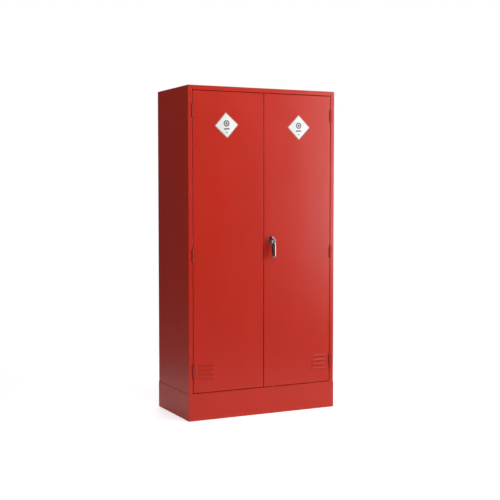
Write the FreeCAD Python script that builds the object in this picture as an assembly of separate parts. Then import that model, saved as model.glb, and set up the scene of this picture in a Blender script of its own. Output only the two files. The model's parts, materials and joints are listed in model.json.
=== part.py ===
import FreeCAD, Part
import math
import os

# Two-door steel chemical storage cabinet on a plinth. All sizes are in millimetres.
# +X is to the right seen from the front, +Y runs to the back and +Z up.
# The origin is on the floor, at the centre of the plinth.

V = FreeCAD.Vector
LEFT, RIGHT = -1, 1

# ---------------------------------------------------------------- driving dimensions
# Whole cabinet
width = 915.0                 # over the plinth
depth = 457.0                 # over the plinth, front to back
height = 1830.0

# Sheet metal
shell_sheet = 1.2             # sides, top, base, back and doors
plinth_sheet = 1.5
bend = 1.0                    # inside radius of every fold
top_edge_radius = 1.0         # ground round along the cabinet's top edges

# Plinth
plinth_height = 150.0
plinth_proud = 1.75           # how far it stands out past the body, all round
plinth_flange = 30.0          # folds at its top and bottom

# Body
stile = 24.0                  # front face of each side panel
top_rail = 25.0               # front face of the top panel
jamb = 18.0                   # fold behind each stile
rear_flange = 20.0
stop_drop = 12.0              # strip behind the top edge of the doors
stop_rise = 8.0               # and above the opening
base_upstand = 20.0
sump_depth = 50.0             # height of the lip that holds a spill
sump_foot, sump_hem = 15.0, 10.0

# Doors
door_depth = 20.0
door_gap = 3.0                # round the frame
meeting_gap = 3.5             # between the two doors
bottom_gap = 2.8
door_flange = 14.0            # folds round the back of each door
buffer_gap = 2.5              # from a closed door to its stop
buffer_radius, buffer_from_centre = 4.0, 100.0
buffer_face_clear = 0.3       # from a closed door to a buffer's face
strip_sheet = 1.2             # strip that covers the gap between the doors
strip_cover = 0.8             # how far it goes past the centre of the gap
stiffener_crown, stiffener_depth, stiffener_flange = 45.0, 15.0, 12.0
stiffener_end = 30.0          # from the top and bottom of the door

# Hinges
hinge_length = 66.0
barrel_radius = 5.5
hinge_pin_radius = 3.0
hinge_running = 0.05          # radial clearance of a door knuckle on its pin
leaf_sheet = 1.5
leaf_relief = 0.8             # leaf cut back behind the other leaf's knuckles
pin_past = 0.8                # pin beyond the outer knuckles
leaf_depth = 17.0             # from the front face
axis_proud = 0.5              # hinge axis in front of the front face
knuckle_gap = 0.6
notch_clear = 2.5             # room round a hinge barrel in its notch
top_hinge_down = 110.0        # hinge centre below the top of the door
middle_hinge_up = 756.0       # hinge centres above the bottom of the door
bottom_hinge_up = 121.0

# Louvres
louvre_length = 98.0
louvre_height = 13.0
louvre_reach = 5.0            # how far a hood stands out
louvre_pitch = 25.0
louvre_count = 4
louvre_brow = 9.36            # height of the curved part of a hood
louvre_end_run = 16.0         # length of the curved part at each end of a hood
bulge_along = 0.28            # middle of each curve, as a share along it
brow_bulge, end_bulge = 0.70, 0.55            # and how far out it is there
louvre_edge = {LEFT: 29.0, RIGHT: 22.0}       # from the hinge edge of each door
louvre_up = 83.0              # lowest louvre's centre above the bottom of the door

# Lock and handle
lock_from_edge = 45.75        # lock centre from the closing edge of the right door
lock_up = 827.0               # lock centre above the bottom of the door
rose_width, rose_height, rose_reach = 37.0, 50.0, 7.0
rose_edge = 3.0               # rounding of the rose's face
rose_screw_radius = 2.0
rose_screw_spread = 19.0      # each screw above and below the lock centre
rose_screw_cover = 2.5        # metal left in front of each screw hole
rose_screw_short = 0.5        # from a screw's tip to the bottom of its hole
rose_screw_head_radius, rose_screw_head = 3.8, 2.4
thread_fit = 0.02             # radial, in every tapped hole
spindle_radius = 7.0
spindle_running = 0.05
square = 7.0                  # inner end of the spindle
square_clear = 0.05
spindle_hole_clear = 1.0      # door skin round the spindle
shoulder_proud = 2.0          # round part of the spindle past the backplate
hub_gap = 0.2                 # from the rose
hub_edge = 2.0
hub_radius = 14.0
hub_reach = 34.0              # hub's face in front of the door
handle_drop = 94.0            # tip of the handle below the lock centre
barrel_lock_radius = 6.5
barrel_lock_length = 16.0
barrel_lock_running = 0.05
barrel_lock_proud = 0.3       # its face in front of the hub's
barrel_lock_end_clear = 0.2
keyway_width, keyway_height, keyway_depth = 1.6, 7.2, 8.0
backplate = 2.0
backplate_width, backplate_height, backplate_corner = 64.0, 100.0, 4.0
cam_radius, cam_sheet = 22.0, 3.0
crank = 16.0                  # from the lock centre to each cam pin
cam_pin_radius = 2.5
cam_gap = 0.5                 # from the rods
press_fit = 0.01              # radial, where two pieces are pressed together
pin_proud = 0.3               # cam pins past the far face of the rods' flat ends
yoke_sheet = 3.0              # flat end of each rod
yoke_margin = 2.5             # metal round its slot
yoke_length = 14.0            # flat end past the slot
yoke_overlap = 4.0            # where the round bar starts, past the slot
yoke_side_clear = 0.5         # cam pin in its slot, along the slot
yoke_lift_clear = 0.7         # and across it, because the slot is straight
tongue_length = 43.0
tongue_width = 16.0
tongue_sheet, tongue_hub, tongue_corner = 3.0, 12.0, 3.0
square_short = 0.2            # end of the square inside the tongue
spacer_clear, spacer_wall = 0.4, 1.7
washer_radius, washer_sheet, washer_clear = 8.0, 1.2, 0.2
cam_screw_radius = 2.0
cam_screw_length, cam_screw_hole = 11.0, 12.0
cam_screw_across, cam_screw_head = 7.0, 2.8
tongue_clear = 1.0            # behind the back of the door
rod_radius = 4.0
rod_running = 0.08
rod_reach = 2.0               # past the edge of the door
rod_set_back = 10.25          # rod's axis behind the front face
rod_chamfer = 1.5
bush_wall = 2.0
bush_collar, bush_collar_sheet = 2.0, 1.5     # collar past the bush, all round, and its thickness
bush_proud = 0.3              # past the edge of the door
guide_width, guide_height, guide_cover, guide_corner = 22.0, 14.0, 2.5, 2.0
guide_from_lock, guide_from_edge = 260.0, 40.0
keeper_clear = 2.0            # keeper hole round a rod

# Shelves
upright_width, upright_depth, upright_sheet = 30.0, 12.0, 1.5
slot_pitch = 25.0
slot_width, slot_height = 14.0, 4.0
first_slot = 75.0             # above the cabinet's floor
upright_end = 30.0            # from the floor and from the top
shelf_sheet = 1.0
shelf_lip = 30.0
shelf_corner = 6.0
shelf_side_gap = 2.5          # to the uprights
shelf_front_gap = 17.0        # to the back of a closed door
shelf_rear_gap = 12.0
upright_in = 45.0             # upright's centre from the shelf's front or rear edge
shelf_slots = {"lower": 13, "middle": 29, "upper": 45}
clip_width, clip_tongue, clip_sheet = 18.0, 20.0, 1.5
hook_width, hook_thick, hook_behind, hook_drop = 10.0, 2.6, 2.2, 4.0
hook_clear = 0.3              # from the back of an upright's face
hook_below_top = 5.0          # upper hook's centre below the top of the clip

# Labels
label_side, label_thick = 100.0, 0.25
label_down = 183.0            # centre below the top of the door
label_lean = {LEFT: 4.0, RIGHT: 1.0}          # degrees, anticlockwise
label_from_centre = {LEFT: 228.0, RIGHT: 222.0}

# ---------------------------------------------------------------- places worked out
body_half = width / 2 - plinth_proud
front = -depth / 2 + plinth_proud             # front face of the frame and the doors
rear = depth / 2 - plinth_proud
inner_half = body_half - shell_sheet
opening_half = body_half - stile
floor_top = plinth_height + shell_sheet
back_inner = rear - 2 * shell_sheet
opening_top = height - top_rail
door_edge = opening_half - door_gap           # hinge edge, from the centre
meet = meeting_gap / 2                        # closing edge, from the centre
door_bottom = floor_top + bottom_gap
door_top = opening_top - door_gap
door_back = front + door_depth
stop_face = door_back + buffer_gap
hinge_x = (opening_half + door_edge) / 2
hinge_y = front - axis_proud
hinge_heights = {
    "top": door_top - top_hinge_down,
    "middle": door_bottom + middle_hinge_up,
    "bottom": door_bottom + bottom_hinge_up,
}
lock_x = meet + lock_from_edge
lock_z = door_bottom + lock_up
rod_y = front + rod_set_back
bush_radius = rod_radius + bush_wall
cam_y = rod_y + rod_radius + cam_gap          # front face of the cam
tongue_y = door_back + tongue_clear
spindle_shoulder = front + shell_sheet + backplate + shoulder_proud   # where the round part ends
square_end = tongue_y + tongue_sheet - square_short
pin_side = crank * math.cos(math.radians(45))  # cam pin at rest, each way from the lock centre
rod_offset = (crank + pin_side) / 2
shelf_half = inner_half - upright_depth - shelf_side_gap
shelf_front = door_back + shelf_front_gap
shelf_rear = back_inner - shelf_rear_gap
upright_y = {"front": shelf_front + upright_in, "rear": shelf_rear - upright_in}


# Two edges this close count as the same, and a cutting tool goes this far past what it cuts.
same, past = 0.01, 1.0


# ---------------------------------------------------------------- shape helpers
def block(x, y, z):
    """A box between pairs of limits, given in any order."""
    (x0, x1), (y0, y1), (z0, z1) = sorted(x), sorted(y), sorted(z)
    return Part.makeBox(x1 - x0, y1 - y0, z1 - z0, V(x0, y0, z0))


def rod(radius, start, end):
    """A round bar between two points."""
    a, b = V(*start), V(*end)
    return Part.makeCylinder(radius, (b - a).Length, a, b - a)


def ring(outer, inner, start, end):
    """A round bar with a round hole through it."""
    return rod(outer, start, end).cut(rod(inner, start, end))


def joined(shapes):
    """Several touching or overlapping shapes as one clean solid."""
    first, rest = shapes[0], shapes[1:]
    return first.fuse(rest).removeSplitter() if rest else first


def rounded(shape, radius, wanted):
    """Fillets the edges for which wanted(middle point, direction) is true."""
    picked = []
    for edge in shape.Edges:
        a, b = edge.Vertexes[0].Point, edge.Vertexes[-1].Point
        if wanted((a + b) * 0.5, (b - a)):
            picked.append(edge)
    return shape.makeFillet(radius, picked)


def folded(path, sheet, side, place, extrusion):
    """A folded strip. path is the outer face's outline, its corners sharp; the sheet lies to
    the path's left for side 1 and to its right for side -1. Each corner becomes a bend with
    the inside radius `bend`. place(u, v) puts the outline in space."""
    def left_of(d):
        return (-d[1], d[0])

    outer, inner = [], []         # each run's end points and each bend's three points
    legs = []
    for (u0, v0), (u1, v1) in zip(path, path[1:]):
        long = math.hypot(u1 - u0, v1 - v0)
        legs.append(((u1 - u0) / long, (v1 - v0) / long))

    def shifted(point, d, distance):
        n = left_of(d)
        return (point[0] + side * distance * n[0], point[1] + side * distance * n[1])

    outer.append(("point", path[0]))
    inner.append(("point", shifted(path[0], legs[0], sheet)))
    for corner, d0, d1 in zip(path[1:-1], legs, legs[1:]):
        turn = d0[0] * d1[1] - d0[1] * d1[0]
        sign = 1 if turn > 0 else -1
        angle = math.acos(max(-1.0, min(1.0, d0[0] * d1[0] + d0[1] * d1[1])))
        own = bend + sheet if sign == side else bend
        other = bend if sign == side else bend + sheet
        back = own * math.tan(angle / 2)
        start = (corner[0] - d0[0] * back, corner[1] - d0[1] * back)
        n0, n1 = left_of(d0), left_of(d1)
        centre = (start[0] + sign * own * n0[0], start[1] + sign * own * n0[1])
        middle = (-(n0[0] + n1[0]), -(n0[1] + n1[1]))
        length = math.hypot(*middle)
        middle = (sign * middle[0] / length, sign * middle[1] / length)
        for run, radius in ((outer, own), (inner, other)):
            run.append(("arc", tuple(
                (centre[0] + radius * m[0], centre[1] + radius * m[1])
                for m in (
                    (-sign * n0[0], -sign * n0[1]),
                    middle,
                    (-sign * n1[0], -sign * n1[1]),
                )
            )))
    outer.append(("point", path[-1]))
    inner.append(("point", shifted(path[-1], legs[-1], sheet)))

    def edges(run):
        made, at = [], None
        for kind, data in run:
            here = data if kind == "point" else data[0]
            if at is not None:
                made.append(Part.LineSegment(place(*at), place(*here)).toShape())
            if kind == "arc":
                made.append(Part.Arc(*[place(*p) for p in data]).toShape())
                here = data[2]
            at = here
        return made

    ends = [
        Part.LineSegment(place(*outer[0][1]), place(*inner[0][1])).toShape(),
        Part.LineSegment(place(*outer[-1][1]), place(*inner[-1][1])).toShape(),
    ]
    wire = Part.Wire(Part.__sortEdges__(edges(outer) + edges(inner) + ends))
    return Part.Face(wire).extrude(extrusion)


# ---------------------------------------------------------------- plinth and body
def make_plinth():
    """A welded skirt, C-shaped in section, with a ring-shaped face on the floor."""
    half_w, half_d = width / 2, depth / 2
    outside = block((-half_w, half_w), (-half_d, half_d), (0, plinth_height))
    outside = rounded(outside, bend + plinth_sheet, lambda m, d: True)
    hollow = block(
        (-half_w + plinth_sheet, half_w - plinth_sheet),
        (-half_d + plinth_sheet, half_d - plinth_sheet),
        (plinth_sheet, plinth_height - plinth_sheet),
    )
    hollow = rounded(hollow, bend, lambda m, d: True)
    window = block(
        (-half_w + plinth_flange, half_w - plinth_flange),
        (-half_d + plinth_flange, half_d - plinth_flange),
        (0, plinth_height),
    )
    keeper = rod(
        rod_radius + keeper_clear,
        (lock_x + rod_offset, rod_y, plinth_height - plinth_sheet),
        (lock_x + rod_offset, rod_y, plinth_height),
    )
    return outside.cut([hollow, window, keeper])


def hinge_notches(side, x_reach):
    """Room for the three barrels, from the gap out to x_reach past the hinge axis."""
    room = barrel_radius + notch_clear
    tall = hinge_length / 2 + notch_clear
    return [
        block(
            (side * hinge_x, side * (hinge_x + x_reach)),
            (hinge_y - room, hinge_y + room),
            (z - tall, z + tall),
        )
        for z in hinge_heights.values()
    ]


def make_side_panel(side):
    """Jamb, stile, side and rear flange in one folded sheet, notched for the hinges."""
    path = [
        (side * opening_half, front + jamb),
        (side * opening_half, front),
        (side * body_half, front),
        (side * body_half, rear),
        (side * (body_half - rear_flange), rear),
    ]
    sheet = folded(
        path, shell_sheet, side,
        lambda u, v: V(u, v, plinth_height),
        V(0, 0, height - shell_sheet - plinth_height),
    )
    return sheet.cut(hinge_notches(side, barrel_radius + notch_clear))


def make_top_panel():
    """Top, front rail and jamb in one sheet, with plain strips over the sides."""
    path = [
        (stop_face, opening_top),
        (front, opening_top),
        (front, height),
        (rear, height),
        (rear, height - rear_flange),
    ]
    rail = folded(
        path, shell_sheet, -1,
        lambda u, v: V(-opening_half, u, v),
        V(2 * opening_half, 0, 0),
    )
    strips = []
    for side in (LEFT, RIGHT):
        strip = block((side * opening_half, side * body_half), (front, rear),
                      (height - shell_sheet, height))
        strips.append(rounded(strip, top_edge_radius,
                              lambda m, d: m.z > height - same and abs(m.x) > opening_half + same))
    keeper = rod(
        rod_radius + keeper_clear,
        (lock_x - rod_offset, rod_y, opening_top),
        (lock_x - rod_offset, rod_y, opening_top + shell_sheet),
    )
    return joined([rail] + strips).cut(keeper)


def make_top_door_stop():
    """A flat strip welded to the back of the top jamb, which the doors close against."""
    return block((-opening_half, opening_half), (stop_face, stop_face + shell_sheet),
                 (opening_top - stop_drop, opening_top + stop_rise))


def make_back_panel():
    """A flat sheet welded to the rear flanges, short of their bends."""
    return block(
        (-inner_half + bend, inner_half - bend),
        (back_inner, back_inner + shell_sheet),
        (plinth_height, height - shell_sheet - bend),
    )


def make_base_panel():
    """The floor, with upstands along the sides and the back that keep a spill in."""
    behind = front + jamb
    floor = block((-inner_half, inner_half), (behind, back_inner), (plinth_height, floor_top))
    under_doors = block(
        (-opening_half, opening_half), (front, behind), (plinth_height, floor_top)
    )
    upstand_top = floor_top + base_upstand
    sides = [
        block(
            (side * inner_half, side * (inner_half - shell_sheet)),
            (stop_face + shell_sheet, back_inner),
            (floor_top, upstand_top),
        )
        for side in (LEFT, RIGHT)
    ]
    back = block(
        (-inner_half, inner_half),
        (back_inner - shell_sheet, back_inner),
        (floor_top, upstand_top),
    )
    keeper = rod(
        rod_radius + keeper_clear,
        (lock_x + rod_offset, rod_y, plinth_height),
        (lock_x + rod_offset, rod_y, floor_top),
    )
    return joined([floor, under_doors, back] + sides).cut(keeper)


def make_sump_lip():
    """A folded strip behind the doors: foot, upright face and a turned-in top edge."""
    path = [
        (stop_face + sump_foot, floor_top),
        (stop_face, floor_top),
        (stop_face, floor_top + sump_depth),
        (stop_face + sump_hem, floor_top + sump_depth),
    ]
    return folded(
        path, shell_sheet, -1,
        lambda u, v: V(-inner_half + shell_sheet, u, v),
        V(2 * (inner_half - shell_sheet), 0, 0),
    )


def make_buffers():
    """Rubber buttons on the two door stops."""
    heights = [
        (door_top + opening_top - stop_drop) / 2,
        door_bottom + door_flange / 2,
    ]
    return Part.makeCompound([
        rod(buffer_radius, (side * buffer_from_centre, door_back + buffer_face_clear, z),
            (side * buffer_from_centre, stop_face, z))
        for side in (LEFT, RIGHT) for z in heights
    ])


# ---------------------------------------------------------------- shelves
def slot_heights():
    """The slots' heights, from the first one up as far as the uprights reach."""
    top = height - shell_sheet - upright_end - slot_pitch / 2
    z, found = floor_top + first_slot, []
    while z < top:
        found.append(z)
        z += slot_pitch
    return found


def make_upright(side, y):
    """A channel on the side panel, its slotted face turned to the shelves."""
    face = inner_half - upright_depth
    low, high = floor_top + upright_end, height - shell_sheet - upright_end
    half = upright_width / 2
    path = [(side * inner_half, y - half), (side * face, y - half),
            (side * face, y + half), (side * inner_half, y + half)]
    channel = folded(
        path, upright_sheet, -side,
        lambda u, v: V(u, v, low), V(0, 0, high - low),
    )
    return channel.cut([
        block(
            (side * (face - past), side * (face + upright_sheet + past)),
            (y - slot_width / 2, y + slot_width / 2),
            (z - slot_height / 2, z + slot_height / 2),
        )
        for z in slot_heights()
    ])


def shelf_height(name):
    """The underside of a shelf, which is the top of its clips."""
    return slot_heights()[shelf_slots[name]] + hook_below_top


def make_clip(side, y, top):
    """A bent clip whose two hooks go through neighbouring slots of an upright."""
    face = inner_half - upright_depth
    web_back = face + upright_sheet
    tall = slot_pitch + 2 * hook_below_top
    plate = block((side * (face - clip_sheet), side * face),
                  (y - clip_width / 2, y + clip_width / 2), (top - tall, top))
    tongue = block((side * (face - clip_tongue), side * face),
                   (y - clip_width / 2, y + clip_width / 2), (top - clip_sheet, top))
    pieces = [plate, tongue]
    for z in (top - hook_below_top, top - hook_below_top - slot_pitch):
        thick = (z - hook_thick / 2, z + hook_thick / 2)
        wide = (y - hook_width / 2, y + hook_width / 2)
        pieces.append(block((side * (face - clip_sheet), side * (web_back + hook_behind)),
                            wide, thick))
        pieces.append(block((side * (web_back + hook_clear), side * (web_back + hook_behind)),
                            wide, (z - hook_thick / 2 - hook_drop, z)))
    return joined(pieces)


def make_shelf(bottom):
    """A spill tray: floor and four lips, with rounded folds."""
    outside = block((-shelf_half, shelf_half), (shelf_front, shelf_rear),
                    (bottom, bottom + shelf_lip))
    outside = rounded(outside, shelf_corner, lambda m, d: abs(d.z) > shelf_lip / 2)
    outside = rounded(outside, bend + shelf_sheet, lambda m, d: m.z < bottom + same)
    inside = block(
        (-shelf_half + shelf_sheet, shelf_half - shelf_sheet),
        (shelf_front + shelf_sheet, shelf_rear - shelf_sheet),
        (bottom + shelf_sheet, bottom + 2 * shelf_lip),
    )
    inside = rounded(inside, shelf_corner - shelf_sheet, lambda m, d: abs(d.z) > shelf_lip / 2)
    inside = rounded(inside, bend, lambda m, d: m.z < bottom + shelf_sheet + same)
    return outside.cut(inside)


# ---------------------------------------------------------------- doors
def make_louvre(centre_x, centre_z):
    """(hood, hollow): the hood is fused to a door's skin, and the hollow is cut from both."""
    def solid(inset, back, low_extra):
        half, high = louvre_length / 2 - inset, louvre_height / 2
        reach = louvre_reach - inset
        crown = front - reach
        top = centre_z + high - inset
        brow = top - louvre_brow
        low = centre_z - high - low_extra
        section = Part.Face(Part.Wire([
            Part.LineSegment(V(0, back, low), V(0, back, top)).toShape(),
            Part.LineSegment(V(0, back, top), V(0, front, top)).toShape(),
            Part.Arc(V(0, front, top),
                     V(0, front - brow_bulge * reach, top - bulge_along * louvre_height),
                     V(0, crown, brow)).toShape(),
            Part.LineSegment(V(0, crown, brow), V(0, crown, low)).toShape(),
            Part.LineSegment(V(0, crown, low), V(0, back, low)).toShape(),
        ])).extrude(V(2 * half, 0, 0))
        section.translate(V(centre_x - half, 0, 0))
        run = louvre_end_run
        left, right = centre_x - half, centre_x + half
        plan = Part.Face(Part.Wire([
            Part.LineSegment(V(left, back, 0), V(right, back, 0)).toShape(),
            Part.LineSegment(V(right, back, 0), V(right, front, 0)).toShape(),
            Part.Arc(V(right, front, 0),
                     V(right - bulge_along * run, front - end_bulge * reach, 0),
                     V(right - run, crown, 0)).toShape(),
            Part.LineSegment(V(right - run, crown, 0), V(left + run, crown, 0)).toShape(),
            Part.Arc(V(left + run, crown, 0),
                     V(left + bulge_along * run, front - end_bulge * reach, 0),
                     V(left, front, 0)).toShape(),
            Part.LineSegment(V(left, front, 0), V(left, back, 0)).toShape(),
        ])).extrude(V(0, 0, 2 * louvre_height))
        plan.translate(V(0, 0, centre_z - louvre_height))
        return section.common(plan)

    hood = solid(0.0, front + shell_sheet / 2, 0.0)
    hollow = solid(shell_sheet, front + 2 * shell_sheet, same)
    return hood, hollow


def louvre_places(side):
    """The centres of a door's louvres."""
    x = side * (door_edge - louvre_edge[side] - louvre_length / 2)
    return [(x, door_bottom + louvre_up + n * louvre_pitch) for n in range(louvre_count)]


def make_door_skin(side):
    """A pan: face, four edges and four folds round the back, with louvres and notches."""
    near, far = side * meet, side * door_edge
    outside = block((near, far), (front, door_back), (door_bottom, door_top))
    outside = rounded(outside, bend + shell_sheet,
                      lambda m, d: m.y < front + same or abs(d.y) > door_depth / 2)
    near_in, far_in = side * (meet + shell_sheet), side * (door_edge - shell_sheet)
    inside = block(
        (near_in, far_in),
        (front + shell_sheet, door_back - shell_sheet),
        (door_bottom + shell_sheet, door_top - shell_sheet),
    )
    inside = rounded(inside, bend,
                     lambda m, d: m.y < front + shell_sheet + same or abs(d.y) > door_depth / 2)
    window = block(
        (side * (meet + door_flange), side * (door_edge - door_flange)),
        (front + door_depth / 2, door_back),
        (door_bottom + door_flange, door_top - door_flange),
    )
    pan = outside.cut([inside, window])
    hoods, hollows = zip(*[make_louvre(x, z) for x, z in louvre_places(side)])
    pan = pan.fuse(list(hoods))
    cuts = list(hollows) + hinge_notches(side, -(barrel_radius + notch_clear))
    if side == RIGHT:
        cuts += [
            rod(spindle_radius + spindle_hole_clear, (lock_x, front - past, lock_z),
                (lock_x, front + shell_sheet + past, lock_z)),
            rod(bush_radius, (lock_x - rod_offset, rod_y, door_top - shell_sheet - past),
                (lock_x - rod_offset, rod_y, door_top + past)),
            rod(bush_radius, (lock_x + rod_offset, rod_y, door_bottom - past),
                (lock_x + rod_offset, rod_y, door_bottom + shell_sheet + past)),
        ]
        cuts += [
            rod(rose_screw_radius, (lock_x, front - past, z),
                (lock_x, front + shell_sheet + past, z))
            for z in rose_screw_heights()
        ]
    return pan.cut(cuts)


def make_stiffener(side):
    """A hat-shaped channel welded up the middle of the door's inner face."""
    middle = side * (meet + door_edge) / 2
    skin = front + shell_sheet
    crown = skin + stiffener_depth
    half = stiffener_crown / 2
    path = [
        (middle - half - stiffener_flange, skin),
        (middle - half, skin),
        (middle - half, crown),
        (middle + half, crown),
        (middle + half, skin),
        (middle + half + stiffener_flange, skin),
    ]
    # The first run's outer face is the one on the skin, so the crown stands one sheet further.
    return folded(
        path, shell_sheet, 1,
        lambda u, v: V(u, v, door_bottom + stiffener_end),
        V(0, 0, door_top - door_bottom - 2 * stiffener_end),
    )


def make_meeting_strip():
    """A strip on the left door's closing flange that covers most of the gap."""
    return block(
        (-meet - door_flange, strip_cover), (door_back, door_back + strip_sheet),
        (door_bottom + door_flange, door_top - door_flange),
    )


def make_label(side):
    """A square of vinyl set on its corner, a little crooked as it was stuck on."""
    half = label_side / 2
    plate = block((-half, half), (front - label_thick, front), (-half, half))
    plate.rotate(V(0, 0, 0), V(0, -1, 0), 45 + label_lean[side])
    plate.translate(V(side * label_from_centre[side], 0, door_top - label_down))
    return plate


# ---------------------------------------------------------------- hinges
def hinge_bands(z):
    """The heights of a hinge's three knuckles, as (frame, door, frame)."""
    low, high = z - hinge_length / 2, z + hinge_length / 2
    third = (hinge_length - 2 * knuckle_gap) / 3
    return [
        (low, low + third),
        (low + third + knuckle_gap, high - third - knuckle_gap),
        (high - third, high),
    ]


def make_leaf(side, z, on_door):
    """Knuckles and leaf in one piece; the leaf is welded inside the jamb or the door's edge."""
    bands = hinge_bands(z)
    mine = bands[1:2] if on_door else [bands[0], bands[2]]
    if on_door:
        plate_x = (side * (door_edge - shell_sheet), side * (door_edge - shell_sheet - leaf_sheet))
        bore = hinge_pin_radius + hinge_running
    else:
        plate_x = (side * (opening_half + shell_sheet),
                   side * (opening_half + shell_sheet + leaf_sheet))
        bore = hinge_pin_radius + press_fit
    clear_of_barrel = hinge_y + barrel_radius + leaf_relief
    pieces = [block(plate_x, (clear_of_barrel, front + leaf_depth),
                    (z - hinge_length / 2, z + hinge_length / 2))]
    for low, high in mine:
        pieces.append(rod(barrel_radius, (side * hinge_x, hinge_y, low),
                          (side * hinge_x, hinge_y, high)))
        pieces.append(block(plate_x, (hinge_y, clear_of_barrel + past), (low, high)))
    leaf = joined(pieces)
    return leaf.cut(rod(bore, (side * hinge_x, hinge_y, z - hinge_length),
                        (side * hinge_x, hinge_y, z + hinge_length)))


def make_hinge_pins(side):
    return Part.makeCompound([
        rod(hinge_pin_radius, (side * hinge_x, hinge_y, z - hinge_length / 2 - pin_past),
            (side * hinge_x, hinge_y, z + hinge_length / 2 + pin_past))
        for z in hinge_heights.values()
    ])


# ---------------------------------------------------------------- lock
def rose_screw_heights():
    """The heights of the two screws that hold the rose."""
    return [lock_z - rose_screw_spread, lock_z + rose_screw_spread]


def make_rose():
    """The oval plate on the door that the handle turns in."""
    radius, straight = rose_width / 2, (rose_height - rose_width) / 2
    face = front - rose_reach
    outline = Part.Face(Part.Wire([
        Part.Arc(V(lock_x - radius, face, lock_z + straight),
                 V(lock_x, face, lock_z + straight + radius),
                 V(lock_x + radius, face, lock_z + straight)).toShape(),
        Part.LineSegment(V(lock_x + radius, face, lock_z + straight),
                         V(lock_x + radius, face, lock_z - straight)).toShape(),
        Part.Arc(V(lock_x + radius, face, lock_z - straight),
                 V(lock_x, face, lock_z - straight - radius),
                 V(lock_x - radius, face, lock_z - straight)).toShape(),
        Part.LineSegment(V(lock_x - radius, face, lock_z - straight),
                         V(lock_x - radius, face, lock_z + straight)).toShape(),
    ]))
    rose = outline.extrude(V(0, rose_reach, 0))
    rose = rose.makeFillet(rose_edge, [e for e in rose.Edges if e.BoundBox.YMax < face + same])
    bore = rod(spindle_radius + spindle_running, (lock_x, face - past, lock_z),
               (lock_x, front + past, lock_z))
    screws = [rod(rose_screw_radius, (lock_x, face + rose_screw_cover, z),
                  (lock_x, front + past, z))
              for z in rose_screw_heights()]
    return rose.cut([bore] + screws)


def make_backplate():
    """The steel plate inside the door that the rose is screwed to."""
    half_w, half_h = backplate_width / 2, backplate_height / 2
    skin = front + shell_sheet
    plate = block((lock_x - half_w, lock_x + half_w), (skin, skin + backplate),
                  (lock_z - half_h, lock_z + half_h))
    plate = rounded(plate, backplate_corner, lambda m, d: abs(d.y) > backplate / 2)
    holes = [rod(rose_screw_radius, (lock_x, skin - past, z), (lock_x, skin + backplate + past, z))
             for z in rose_screw_heights()]
    bore = rod(spindle_radius + spindle_running, (lock_x, skin - past, lock_z),
               (lock_x, skin + backplate + past, lock_z))
    return plate.cut(holes + [bore])


def make_rose_screws():
    """Two pan-head screws through the backplate and the skin into the rose."""
    tip = front - rose_reach + rose_screw_cover + rose_screw_short
    seat = front + shell_sheet + backplate
    return Part.makeCompound([
        joined([
            rod(rose_screw_radius - thread_fit, (lock_x, tip, z),
                (lock_x, seat + rose_screw_head / 2, z)),
            rod(rose_screw_head_radius, (lock_x, seat, z), (lock_x, seat + rose_screw_head, z)),
        ])
        for z in rose_screw_heights()
    ])


def square_bar(across, y0, y1):
    """A square bar on the lock's axis."""
    half = across / 2
    return block((lock_x - half, lock_x + half), (y0, y1), (lock_z - half, lock_z + half))


def make_handle():
    """Hub, spindle and drooping lever in one casting."""
    hub_back, hub_front = front - rose_reach - hub_gap, front - hub_reach
    hub = rod(hub_radius, (lock_x, hub_back, lock_z), (lock_x, hub_front, lock_z))
    hub = hub.makeFillet(hub_edge, [e for e in hub.Edges if e.BoundBox.YMax < hub_front + same])
    # Each section: below the lock centre, forward of the door, half width, half thickness.
    sections = [
        (0.0, 24.0, 13.5, 7.5),
        (0.3, 29.0, 12.5, 7.0),
        (0.6, 32.5, 11.0, 6.5),
        (0.88, 34.0, 9.5, 6.0),
        (1.0, 33.0, 6.0, 3.5),
    ]
    wires = []
    for share, reach, wide, thick in sections:
        centre = V(lock_x, front - reach, lock_z - share * handle_drop)
        oval = Part.Ellipse(centre, wide, thick)
        wires.append(Part.Wire(oval.toShape()))
    lever = Part.makeLoft(wires, True, False)
    spindle = rod(spindle_radius, (lock_x, hub_back - past, lock_z),
                  (lock_x, spindle_shoulder, lock_z))
    casting = joined([hub, lever, spindle,
                      square_bar(square, spindle_shoulder - past, square_end)])
    lock_hole = rod(barrel_lock_radius + barrel_lock_running,
                    (lock_x, hub_front - past, lock_z),
                    (lock_x, hub_front + barrel_lock_length, lock_z))
    screw_hole = rod(cam_screw_radius + thread_fit, (lock_x, square_end - cam_screw_hole, lock_z),
                     (lock_x, square_end + past, lock_z))
    return casting.cut([lock_hole, screw_hole])


def make_lock_barrel():
    """The key plug, with its slot upright."""
    face = front - hub_reach - barrel_lock_proud
    plug = rod(barrel_lock_radius, (lock_x, face, lock_z),
               (lock_x, front - hub_reach + barrel_lock_length - barrel_lock_end_clear, lock_z))
    slot = block((lock_x - keyway_width / 2, lock_x + keyway_width / 2),
                 (face - past, face + keyway_depth),
                 (lock_z - keyway_height / 2, lock_z + keyway_height / 2))
    return plug.cut(slot)


def cam_pin_places():
    """The upper rod's pin is up and to the left, the lower rod's down and to the right."""
    return [(lock_x - pin_side, lock_z + pin_side), (lock_x + pin_side, lock_z - pin_side)]


def make_cam():
    """The disc on the square that drives both rods through its two pins."""
    disc = rod(cam_radius, (lock_x, cam_y, lock_z), (lock_x, cam_y + cam_sheet, lock_z))
    holes = [rod(cam_pin_radius, (x, cam_y - past, z), (x, cam_y + cam_sheet + past, z))
             for x, z in cam_pin_places()]
    bore = square_bar(square + 2 * square_clear, cam_y - past, cam_y + cam_sheet + past)
    return disc.cut([bore] + holes)


def make_cam_pins():
    return Part.makeCompound([
        rod(cam_pin_radius - press_fit, (x, rod_y - yoke_sheet / 2 - pin_proud, z),
            (x, cam_y + cam_sheet, z))
        for x, z in cam_pin_places()
    ])


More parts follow.
